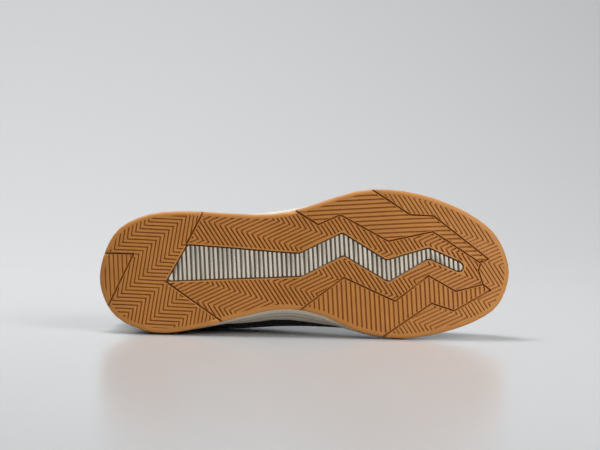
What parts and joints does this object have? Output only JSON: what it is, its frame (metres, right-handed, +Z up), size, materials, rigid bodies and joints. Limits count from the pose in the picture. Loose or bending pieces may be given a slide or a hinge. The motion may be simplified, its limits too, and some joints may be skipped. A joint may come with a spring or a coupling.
{
  "type": "sneaker",
  "caption": "Low-cut lace-up sneaker for the right foot, lying on its side, with a gum rubber outsole in blocks, a ribbed foam window, a foam midsole and a hollow knit upper.",
  "frame": {"origin": "middle of the lying shoe's box, on the floor", "axes": "+X from heel to toe, +Y from the tread towards the collar, +Z up from the floor, where the medial side lies, to the lateral side"},
  "size_m": [0.3014, 0.1256, 0.1088],
  "materials": {
    "gum_rubber": "matte gum rubber",
    "midsole_foam": "moulded foam, matte",
    "insole_cloth": "brushed cloth",
    "black_knit": "knit",
    "black_lace": "flat woven cord"
  },
  "bodies": {
    "root": {"outsole": "gum_rubber", "midsole": "midsole_foam", "insole": "insole_cloth", "upper": "black_knit", "tongue": "black_knit", "laces": "black_lace"}
  },
  "joints": []
}
